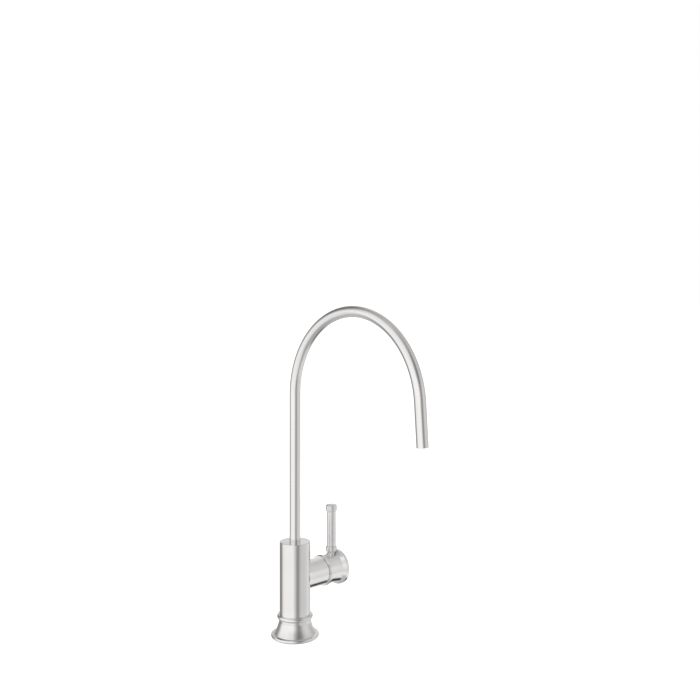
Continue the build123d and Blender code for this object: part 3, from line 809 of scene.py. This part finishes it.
def model_handle_hub(sizes, arm, lever):
    """Hub: ring, hollow waist that flares out to a flange, and a flat cut across its top for the lever."""
    waist_start, waist_middle = (sizes.waist_radius, sizes.waist_start), (0.01605, 0.051)
    waist = arc_through(waist_start, waist_middle, (sizes.flare_radius, sizes.flare_start), 16)
    skirt_bore, skirt_floor = 0.0132, 0.043
    stem_bore, stem_floor, screw_hole = 0.00402, 0.0506, 0.00205
    cap_recess, recess_floor = 0.008, 0.0586
    line = softened(
        (skirt_bore, sizes.start),
        (sizes.ring_radius - 0.001, sizes.start, 0.0001),
        (sizes.ring_radius, sizes.start + 0.0014, 0.0003),
        (sizes.ring_radius, sizes.ring_end, 0.00015),
        waist_start,
        guard=0.0002,
    )
    line += waist[1:-1]
    line += softened(
        waist[-1],
        (sizes.flange_radius, sizes.flange_start + 0.00045, 0.0003),
        (sizes.flange_radius, sizes.end, sizes.flange_round),
        (cap_recess, sizes.end, 0.0002),
        (cap_recess, recess_floor),
        guard=0.0002,
    )
    line += [
        (screw_hole, recess_floor),
        (screw_hole, stem_floor),
        (stem_bore, stem_floor),
        (stem_bore, skirt_floor),
        (skirt_bore, skirt_floor),
        (skirt_bore, sizes.start),
    ]
    piece = place(turn_piece("handle_hub", line, 160, 0.003), (0, 0, arm.height), True)
    carve(piece, saddle_cutter(sizes))
    floor = sizes.saddle_height
    seat_radius, stud_hole, stud_floor = 0.00452, 0.00252, 0.0712
    drill(piece, seat_radius, (lever.place, 0, floor), (lever.place, 0, floor + 0.003))
    drill(piece, stud_hole, (lever.place, 0, stud_floor), (lever.place, 0, floor + 0.0001), 48)
    return piece


def saddle_cutter(sizes):
    """Block that cuts the flat for the lever: square at the ring, swept up to the flange at the other end."""
    low, high, end = sizes.saddle_height, 0.095, sizes.flange_start - 0.0006
    half, wide_half = 0.02, 0.03
    sweep_start, middle = end - sizes.saddle_round, low + sizes.saddle_round
    sweep = box_cutter((sweep_start, -half, low), (end, half, high))
    axis_ends = (sweep_start, -wide_half, middle), (sweep_start, wide_half, middle)
    rounded = round_cutter(sizes.saddle_round, *axis_ends)
    carve(rounded, box_cutter((sweep_start, -wide_half, middle), (end, wide_half, high)), "UNION")
    carve(sweep, rounded, "INTERSECT")
    block = box_cutter((sizes.waist_start, -half, low), (sweep_start, half, high))
    carve(block, sweep, "UNION")
    return block


def model_hub_end_cap(sizes, arm):
    """Cap that closes the screw recess in the end of the hub."""
    outer, middle, depth = 0.00798, 0.004, 0.003
    line = softened((outer, sizes.end - depth), (outer, sizes.end, 0.0004), (middle, sizes.end))
    return place(turn_piece("hub_end_cap", line, 96, 0.0015), (0, 0, arm.height), True)


def model_lever_neck(sizes, hub):
    """Lower part of the lever: stud, neck and the bead above it, with the blind bore for the core rod."""
    stud_radius, stud_bottom, foot_radius, bead_round = 0.0025, 0.0718, 0.0045, 0.0022
    foot = hub.saddle_height
    line = [(stud_radius, stud_bottom), (stud_radius, foot), (foot_radius, foot)]
    line += softened(
        (foot_radius, foot),
        (sizes.neck_radius, foot + 0.0012),
        (sizes.neck_radius, sizes.lower_bead_bottom, 0.00015),
        (sizes.lower_bead_radius, sizes.lower_bead_bottom, bead_round),
        (sizes.lower_bead_radius, sizes.lower_bead_top, bead_round),
        (sizes.core_bore, sizes.lower_bead_top),
        steps=8,
    )[1:]
    line += [(sizes.core_bore, sizes.lower_bead_top - 0.0046)]
    return place(turn_piece("lever_neck", line, 96, 0.0015), (sizes.place, 0, 0))


def model_lever_shaft(sizes):
    """Straight part of the lever, bored for the core rod."""
    line = ring_line(sizes.core_bore, sizes.shaft_radius, sizes.lower_bead_top, sizes.upper_bead_bottom)
    return place(turn_piece("lever_shaft", line, 96, 0.004), (sizes.place, 0, 0))


def model_lever_finial(sizes):
    """Bead at the tip of the lever, with the blind bore for the core rod."""
    bead_round, bore_depth, top_radius = 0.0016, 0.0043, 0.002
    line = softened(
        (sizes.core_bore, sizes.upper_bead_bottom + bore_depth),
        (sizes.core_bore, sizes.upper_bead_bottom),
        (sizes.upper_bead_radius, sizes.upper_bead_bottom, bead_round),
        (sizes.upper_bead_radius, sizes.upper_bead_top, bead_round),
        (top_radius, sizes.upper_bead_top),
        steps=8,
    )
    return place(turn_piece("lever_finial", line, 96, 0.0015), (sizes.place, 0, 0))


def model_mounting_shank(sizes):
    """Shank with its water way, whose outer points are drawn in along a helix to form the thread."""
    outer, bore, low = sizes.shank_radius, sizes.shank_bore, sizes.shank_bottom
    top, chamfer, thread_top = 0.017, 0.0008, -0.0045
    thread_low = low + chamfer
    steps = 8 * math.floor(sizes.thread_length / sizes.thread_pitch)
    line = [(bore, top), (bore, low + 0.003), (bore + 0.0012, low), (outer - chamfer, low)]
    line += [(outer, thread_low)]
    line += [(outer, thread_low + sizes.thread_length * step / steps) for step in range(1, steps + 1)]
    line += [(outer, top), (bore, top)]
    piece = turn_piece("mounting_shank", line, 96)
    for vertex in piece.data.vertices:
        x, y, z = vertex.co
        radius = math.hypot(x, y)
        run_in = min(1.0, (z - low - 0.0007) / 0.001, (thread_top - z) / 0.0015)
        if radius > outer - MERGE and run_in > 0:
            turn = z / sizes.thread_pitch - math.atan2(y, x) / (2 * math.pi)
            depth = sizes.thread_depth * (1 - abs(2 * (turn % 1) - 1)) * run_in
            vertex.co.x = x * (radius - depth) / radius
            vertex.co.y = y * (radius - depth) / radius
    return piece


def model_washer(name, sizes, top, thickness, edge):
    """Flat ring under the deck."""
    hole, low = sizes.shank_radius + 0.0003, top - thickness
    line = softened(
        (hole, low),
        (sizes.washer_radius, low, edge),
        (sizes.washer_radius, top, edge),
        (hole, top),
        (hole, low),
        steps=3,
        guard=0.0001,
    )
    return turn_piece(name, line, 96, 0.004)


def model_lock_nut(sizes):
    """Hexagon nut with rounded-off corners, under its pressed flange."""
    top = -0.0265
    low = top - sizes.nut_height
    corner = sizes.nut_width / math.sqrt(3)
    piece = turn_piece("lock_nut", [(corner, low), (corner, top)], 6, 1.0)
    face_radius, round_radius, flange, flange_low = 0.0108, 0.0123, 0.0125, top - 0.0016
    turned = softened(
        (face_radius, low),
        (round_radius, low + 0.0009),
        (round_radius, top - 0.0022),
        (flange, flange_low, 0.0001),
        (flange, top),
        guard=0.0001,
    )
    carve(piece, turn_piece("shape", turned, 96, 0.004), "INTERSECT")
    carve(piece, turn_piece("flange", [(flange, flange_low), (flange, top)], 96), "UNION")
    drill(piece, sizes.shank_radius + FIT, (0, 0, low - 0.001), (0, 0, top + 0.001), 96)
    return piece


# Brightness of the studio by the angle round the faucet, in degrees from the camera to its right.
SIDES = (
    (-180, 0.56), (-150, 0.38), (-130, 0.27), (-114, 0.32), (-103, 0.72), (-92, 0.96), (-70, 1.03),
    (-12, 1.03), (4, 0.72), (14, 0.44), (22, 0.31), (30, 0.33), (38, 0.52), (50, 0.67), (90, 0.71),
    (110, 0.85), (128, 0.80), (150, 0.70), (180, 0.56),
)
ABOVE = (
    (-180, 0.84), (-172, 0.76), (-162, 0.52), (-150, 0.39), (-128, 0.29), (-114, 0.46), (-103, 0.84),
    (-90, 1.08), (-12, 1.12), (4, 0.80), (18, 0.42), (28, 0.30), (36, 0.32), (48, 0.50), (62, 0.71),
    (84, 0.77), (103, 0.69), (118, 0.58), (135, 0.53), (156, 0.56), (172, 0.66), (180, 0.78),
)
RAISED = (
    (-180, 0.74), (-172, 0.52), (-162, 0.27), (-128, 0.17), (-112, 0.31), (-100, 0.68), (-88, 0.92),
    (-45, 1.02), (-28, 0.94), (-12, 0.90), (0, 0.62), (8, 0.43), (20, 0.27), (30, 0.23), (40, 0.26),
    (52, 0.40), (62, 0.56), (75, 0.66), (96, 0.62), (120, 0.57), (157, 0.60), (172, 0.68), (180, 0.74),
)
HIGH = (
    (-180, 0.54), (-155, 0.43), (-127, 0.41), (-103, 0.46), (-88, 0.56), (-60, 0.62), (-30, 0.64),
    (-5, 0.54), (28, 0.41), (70, 0.51), (99, 0.55), (154, 0.52), (180, 0.54),
)
UNDER = (
    (-180, 0.54), (-150, 0.66), (-114, 0.54), (-100, 0.84), (-80, 0.95), (-10, 0.95), (25, 0.45),
    (50, 0.72), (86, 0.82), (128, 0.82), (146, 0.56), (165, 0.50), (180, 0.54),
)
GROUND = (
    (-180, 0.56), (-110, 0.58), (-60, 0.66), (0, 0.52), (25, 0.40), (60, 0.70), (117, 0.78),
    (125, 0.02), (161, 0.02), (169, 0.60), (180, 0.60),
)
BOTTOM = ((-180, 0.46), (180, 0.46))

# Elevations in degrees at which each row starts to take over from those before it, and has taken over.
LAYERS = (
    (ABOVE, -15, -1),
    (UNDER, -22, -30),
    (RAISED, 12, 26),
    (HIGH, 44, 62),
    (GROUND, -44, -47),
    (BOTTOM, -59, -68),
)


def studio_directions():
    """Level directions of the camera view: ahead and to the right."""
    turn = bpy.context.scene.faucet_studio.azimuth
    ahead = Vector((math.sin(turn), math.cos(turn), 0))
    return ahead, Vector((ahead.y, -ahead.x, 0))


def studio_ramp(tree, value, stops):
    """Soft ramp of grey steps."""
    node = add_node(tree, "ValToRGB", Fac=value)
    node.color_ramp.interpolation = "EASE"
    steps = node.color_ramp.elements
    while len(steps) < len(stops):
        steps.new(0.5)
    for step, (position, bright) in zip(steps, stops):
        step.position = position
        step.color = grey(bright)
    return node.outputs["Color"]


def ring_of_greys(tree, around, row):
    """Ramp of a row of greys round the faucet, from behind it and back to behind it."""
    return studio_ramp(tree, around, [(turn / 360 + 0.5, bright) for turn, bright in row])


def toward(tree, vector):
    """How far the world direction leans toward a vector."""
    node = add_node(tree, "VectorMath", Vector=add_node(tree, "TexCoord").outputs["Generated"])
    node.operation = "DOT_PRODUCT"
    node.inputs[1].default_value = vector
    return node.outputs["Value"]


def rise(degrees):
    """Place of an elevation on a ramp that runs from straight down to straight up."""
    return math.sin(math.radians(degrees)) / 2 + 0.5


def build_world(studio):
    """World: white to the camera, soft light and dark sides to the metal."""
    world = bpy.data.worlds.new("studio")
    world.use_nodes = True
    tree = world.node_tree
    tree.nodes.clear()
    ahead, right = studio_directions()
    around = calculate(tree, "ARCTAN2", toward(tree, right), toward(tree, -ahead))
    around = calculate(tree, "MULTIPLY_ADD", around, 0.5 / math.pi, 0.5)
    height = calculate(tree, "MULTIPLY_ADD", toward(tree, Vector((0, 0, 1))), 0.5, 0.5)
    seen = ring_of_greys(tree, around, SIDES)
    for row, start, full in LAYERS:
        reached = studio_ramp(tree, height, sorted(((rise(start), 0), (rise(full), 1))))
        seen = blend_colours(tree, reached, seen, ring_of_greys(tree, around, row))
    camera_ray = add_node(tree, "LightPath").outputs["Is Camera Ray"]
    seen = blend_colours(tree, camera_ray, seen, grey(1.0))
    background = add_node(tree, "Background", Strength=studio.level, Color=seen)
    add_node(tree, "OutputWorld", Surface=background.outputs[0])
    bpy.context.scene.world = world


def build_floor():
    """Pale floor that keeps the soft shadow under the faucet."""
    only()
    bpy.ops.mesh.primitive_plane_add(size=60)
    floor = bpy.context.object
    floor.name = "floor"
    floor.location.z = -0.0001
    finish, tree = node_tree("floor_paper")
    shader = add_node(
        tree,
        "BsdfPrincipled",
        Base_Color=grey(0.9),
        Roughness=1.0,
        Specular_IOR_Level=0.0,
        Emission_Color=grey(0.72),
        Emission_Strength=add_node(tree, "LightPath").outputs["Is Camera Ray"],
    )
    add_node(tree, "OutputMaterial", Surface=shader.outputs[0])
    floor.data.materials.append(finish)
    floor.visible_glossy = False


def build_camera(studio):
    """Level camera at the photo's angle, with the picture shifted down to the faucet."""
    ahead, right = studio_directions()
    data = bpy.data.cameras.new("camera")
    camera = bpy.data.objects.new("camera", data)
    bpy.context.scene.collection.objects.link(camera)
    data.sensor_width = 36.0
    data.lens = studio.focal_pixels * data.sensor_width / studio.picture_side
    data.shift_y = (studio.horizon_row - studio.picture_side / 2) / studio.picture_side
    data.clip_end = 200
    side = (studio.foot_column - studio.picture_side / 2) / studio.focal_pixels * studio.distance
    height = (studio.foot_row - studio.horizon_row) / studio.focal_pixels * studio.distance
    camera.location = -ahead * studio.distance - right * side + Vector((0, 0, height))
    camera.rotation_euler = (math.pi / 2, 0, -studio.azimuth)
    bpy.context.scene.camera = camera
    bpy.context.scene.view_settings.view_transform = "Standard"


class FaucetAddSpout(bpy.types.Operator):
    """Adds the gooseneck spout tube"""

    bl_idname = "faucet.add_spout"
    bl_label = "Add spout tube"
    bl_options = {"REGISTER", "UNDO"}

    def execute(self, context):
        tube = model_spout_tube(context.scene.faucet_spout)
        finish_piece(tube, "spout", "spout_metal", "spout_tube")
        return {"FINISHED"}


class FaucetAddBody(bpy.types.Operator):
    """Adds the body column"""

    bl_idname = "faucet.add_body"
    bl_label = "Add body"
    bl_options = {"REGISTER", "UNDO"}

    def execute(self, context):
        scene = context.scene
        body = model_body_column(scene.faucet_body, scene.faucet_arm, scene.faucet_clamp)
        finish_piece(body, "base", "body_metal", "body_column")
        return {"FINISHED"}


class FaucetAddBase(bpy.types.Operator):
    """Adds the base flange"""

    bl_idname = "faucet.add_base"
    bl_label = "Add base flange"
    bl_options = {"REGISTER", "UNDO"}

    def execute(self, context):
        base = model_base_flange(context.scene.faucet_base, context.scene.faucet_body)
        finish_piece(base, "base", "base_metal", "base_flange")
        return {"FINISHED"}


class FaucetAddArm(bpy.types.Operator):
    """Adds the valve arm"""

    bl_idname = "faucet.add_arm"
    bl_label = "Add valve arm"
    bl_options = {"REGISTER", "UNDO"}

    def execute(self, context):
        arm = model_valve_arm(context.scene.faucet_arm, context.scene.faucet_body)
        finish_piece(arm, "base", "arm_metal", "valve_arm")
        return {"FINISHED"}


class FaucetAddHub(bpy.types.Operator):
    """Adds the handle hub and its end cap"""

    bl_idname = "faucet.add_hub"
    bl_label = "Add handle hub"
    bl_options = {"REGISTER", "UNDO"}

    def execute(self, context):
        scene = context.scene
        hub = model_handle_hub(scene.faucet_hub, scene.faucet_arm, scene.faucet_lever)
        finish_piece(hub, "lever", "hub_metal", "handle_hub")
        cap = model_hub_end_cap(scene.faucet_hub, scene.faucet_arm)
        finish_piece(cap, "lever", "hub_metal", "hub_end_cap")
        return {"FINISHED"}


class FaucetAddLever(bpy.types.Operator):
    """Adds the neck, the shaft and the finial of the lever"""

    bl_idname = "faucet.add_lever"
    bl_label = "Add lever"
    bl_options = {"REGISTER", "UNDO"}

    def execute(self, context):
        lever = context.scene.faucet_lever
        finish_piece(model_lever_neck(lever, context.scene.faucet_hub), "lever", "lever_metal", "lever_neck")
        finish_piece(model_lever_shaft(lever), "lever", "lever_metal", "lever_shaft")
        finish_piece(model_lever_finial(lever), "lever", "lever_metal", "lever_finial")
        return {"FINISHED"}


class FaucetAddClamp(bpy.types.Operator):
    """Adds the threaded shank, both washers and the lock nut under the deck"""

    bl_idname = "faucet.add_clamp"
    bl_label = "Add deck clamp"
    bl_options = {"REGISTER", "UNDO"}

    def execute(self, context):
        clamp = context.scene.faucet_clamp
        finish_piece(model_mounting_shank(clamp), "base", "shank_brass", "mounting_shank")
        rubber = model_washer("deck_washer_rubber", clamp, top=-0.022, thickness=0.003, edge=0.0004)
        finish_piece(rubber, "base", "rubber", "deck_washer_rubber")
        steel = model_washer("deck_washer_steel", clamp, top=-0.025, thickness=0.0015, edge=0.0002)
        finish_piece(steel, "base", "washer_steel", "deck_washer_steel")
        finish_piece(model_lock_nut(clamp), "base", "nut_brass", "lock_nut")
        return {"FINISHED"}


# Pieces that stay as they are in the CAD, by the slot of their finish.
INNER_PIECES = {
    "spout_metal": ("spout_spigot",),
    "lever_metal": ("lever_core",),
    "cartridge_brass": ("cartridge_body", "cartridge_nut"),
    "stem_brass": ("cartridge_stem",),
    "screw_steel": ("spout_retaining_screw", "hub_screw", "stem_clip"),
    "rubber": (
        "base_seal", "arm_seal", "disc_seal", "spout_o_ring_lower", "spout_o_ring_upper", "stem_o_ring",
    ),
    "ceramic": ("fixed_disc", "moving_disc"),
    "insert_plastic": ("stream_straightener",),
}


class FaucetFinishInside(bpy.types.Operator):
    """Gives the pieces inside the faucet, which keep their shapes, their finishes"""

    bl_idname = "faucet.finish_inside"
    bl_label = "Finish inner pieces"
    bl_options = {"REGISTER", "UNDO"}

    def execute(self, context):
        for slot, names in INNER_PIECES.items():
            for name in names:
                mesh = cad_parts[name].data
                mesh.materials.clear()
                mesh.materials.append(finish_of(slot))
        return {"FINISHED"}


class FaucetAddStage(bpy.types.Operator):
    """Adds the floor, the studio light and the camera"""

    bl_idname = "faucet.add_stage"
    bl_label = "Add studio"
    bl_options = {"REGISTER", "UNDO"}

    def execute(self, context):
        build_floor()
        build_world(context.scene.faucet_studio)
        build_camera(context.scene.faucet_studio)
        return {"FINISHED"}


OPERATORS = (
    FaucetAddSpout,
    FaucetAddBody,
    FaucetAddBase,
    FaucetAddArm,
    FaucetAddHub,
    FaucetAddLever,
    FaucetAddClamp,
    FaucetFinishInside,
    FaucetAddStage,
)

SETTINGS = {
    "faucet_spout": FaucetSpoutSizes,
    "faucet_body": FaucetBodySizes,
    "faucet_base": FaucetBaseSizes,
    "faucet_arm": FaucetArmSizes,
    "faucet_hub": FaucetHubSizes,
    "faucet_lever": FaucetLeverSizes,
    "faucet_clamp": FaucetClampSizes,
    "faucet_finishes": FaucetFinishes,
    "faucet_studio": FaucetStudio,
}


class FaucetPanel(bpy.types.Panel):
    """Sidebar panel with one button for each group of pieces"""

    bl_idname = "VIEW3D_PT_faucet"
    bl_label = "Water filter faucet"
    bl_space_type = "VIEW_3D"
    bl_region_type = "UI"
    bl_category = "Faucet"

    def draw(self, context):
        for operator in OPERATORS:
            self.layout.operator(operator.bl_idname)
        for name, group in SETTINGS.items():
            box = self.layout.box()
            box.label(text=group.__name__)
            settings = getattr(context.scene, name)
            for item in group.__annotations__:
                box.prop(settings, item)


def register():
    """Registers the settings, the operators and the panel."""
    for name, group in SETTINGS.items():
        bpy.utils.register_class(group)
        setattr(bpy.types.Scene, name, PointerProperty(type=group))
    for item in (*OPERATORS, FaucetPanel):
        bpy.utils.register_class(item)


def unregister():
    """Takes everything that register added away again."""
    for item in reversed((*OPERATORS, FaucetPanel)):
        bpy.utils.unregister_class(item)
    for name, group in SETTINGS.items():
        delattr(bpy.types.Scene, name)
        bpy.utils.unregister_class(group)


def main():
    """Builds the faucet and its studio."""
    register()
    bpy.ops.faucet.add_spout()
    bpy.ops.faucet.add_body()
    bpy.ops.faucet.add_base()
    bpy.ops.faucet.add_arm()
    bpy.ops.faucet.add_hub()
    bpy.ops.faucet.add_lever()
    bpy.ops.faucet.add_clamp()
    bpy.ops.faucet.finish_inside()
    bpy.ops.faucet.add_stage()


if __name__ == "__main__":
    main()
